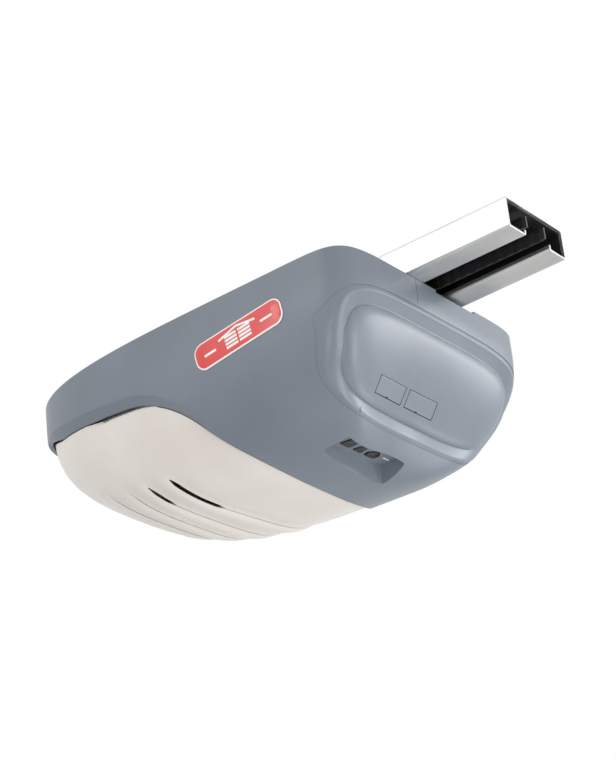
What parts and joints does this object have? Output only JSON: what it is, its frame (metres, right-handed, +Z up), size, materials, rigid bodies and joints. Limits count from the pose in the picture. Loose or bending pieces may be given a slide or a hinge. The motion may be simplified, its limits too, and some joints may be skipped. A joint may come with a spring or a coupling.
{
  "type": "garage door opener",
  "caption": "Ceiling-mounted belt-drive power head with rail stub, light lens, inset control panel and recessed push buttons.",
  "frame": {"origin": "centre of the top face of the hanger saddle that clamps the rail to the head", "axes": "+X along the rail towards the door, +Z up, -Y the side with the badge"},
  "size_m": [0.455, 0.2455, 0.1612],
  "materials": {
    "cover_abs": "satin blue-grey moulded ABS",
    "panel_abs": "satin pale grey moulded ABS",
    "lens_plastic": "milky light-diffusing polycarbonate",
    "zinc_steel": "bright zinc-plated sheet steel",
    "screw_steel": "zinc-plated screws",
    "rail_steel": "galvanised roll-formed steel",
    "machined_steel": "turned and hobbed steel",
    "motor_steel": "drawn steel, dark passivated",
    "cast_aluminium": "die-cast aluminium",
    "reflector_sheet": "bright aluminium sheet",
    "belt_rubber": "black cord-reinforced rubber",
    "gear_nylon": "cream gear nylon",
    "bearing_bronze": "sintered bronze",
    "winding": "enamelled copper winding",
    "core_steel": "stacked lamination steel",
    "board": "solder-masked board laminate",
    "black_nylon": "black nylon and relay cases",
    "button_plastic": "glossy black button plastic",
    "white_plastic": "white moulded plastic",
    "porcelain": "white lamp-holder plastic",
    "bulb_glass": "frosted lamp glass",
    "badge_enamel": "red enamelled plate with a white edge"
  },
  "bodies": {
    "head": {"powerhead_cover": "cover_abs", "knockout_1": "panel_abs", "knockout_2": "panel_abs", "chassis_plate": "zinc_steel", "hanger_saddle": "zinc_steel", "motor_strap": "zinc_steel", "hinge_bracket_1": "zinc_steel", "hinge_bracket_2": "zinc_steel", "hinge_pin_1": "zinc_steel", "hinge_pin_2": "zinc_steel", "reflector_post_1": "zinc_steel", "reflector_post_2": "zinc_steel", "reflector_post_3": "zinc_steel", "reflector_post_4": "zinc_steel", "cover_screw_1": "screw_steel", "cover_screw_2": "screw_steel", "cover_screw_3": "screw_steel", "cover_screw_4": "screw_steel", "saddle_screw_1": "screw_steel", "saddle_screw_2": "screw_steel", "saddle_screw_3": "screw_steel", "saddle_screw_4": "screw_steel", "rail_channel": "rail_steel", "motor_can": "motor_steel", "gearbox_housing": "cast_aluminium", "gearbox_lid": "cast_aluminium", "motor_end_bell": "cast_aluminium", "reflector": "reflector_sheet", "drive_belt": "belt_rubber", "upper_bearing": "bearing_bronze", "lower_bearing": "bearing_bronze", "transformer_coil": "winding", "transformer_core": "core_steel", "circuit_board": "board", "speed_sensor": "black_nylon", "relay_1": "black_nylon", "relay_2": "black_nylon", "filter_capacitor": "black_nylon", "switch_up": "black_nylon", "switch_program": "black_nylon", "switch_down": "black_nylon", "cord_gland": "black_nylon", "terminal_block": "white_plastic", "status_light_pipe": "white_plastic", "lamp_socket_1": "porcelain", "lamp_socket_2": "porcelain", "lamp_1": "bulb_glass", "lamp_2": "bulb_glass", "badge": "badge_enamel"},
    "lens": {"light_lens": "lens_plastic"},
    "rotor": {"worm_shaft": "machined_steel", "motor_armature": "winding", "motor_commutator": "bearing_bronze", "speed_disc": "black_nylon"},
    "output_drive": {"worm_wheel": "gear_nylon", "output_shaft": "machined_steel", "drive_sprocket": "machined_steel"},
    "up_button": {"button_up": "button_plastic"},
    "program_button": {"button_program": "button_plastic"},
    "down_button": {"button_down": "button_plastic"}
  },
  "joints": [
    {"name": "lens_hinge", "type": "hinge", "parent": "head", "child": "lens", "pos_m": [-0.165, 0, -0.0661], "axis": [0, 1, 0], "range_deg": [0, 60]},
    {"name": "motor_spin", "type": "hinge", "parent": "head", "child": "rotor", "pos_m": [0.104, -0.033, -0.0681], "axis": [1, 0, 0], "continuous": true},
    {"name": "sprocket_spin", "type": "hinge", "parent": "head", "child": "output_drive", "pos_m": [0.03, 0, -0.0681], "axis": [0, 0, 1], "continuous": true},
    {"name": "up_button_press", "type": "slide", "parent": "head", "child": "up_button", "axis": [0, 0, 1], "range_m": [0, 0.0012], "stiffness_N_per_m": 500, "springref_m": -0.001},
    {"name": "program_button_press", "type": "slide", "parent": "head", "child": "program_button", "axis": [0, 0, 1], "range_m": [0, 0.0012], "stiffness_N_per_m": 500, "springref_m": -0.001},
    {"name": "down_button_press", "type": "slide", "parent": "head", "child": "down_button", "axis": [0, 0, 1], "range_m": [0, 0.0012], "stiffness_N_per_m": 500, "springref_m": -0.001}
  ],
  "couplings": [
    {"joint": "sprocket_spin", "follows": "motor_spin", "ratio": -0.033333}
  ]
}
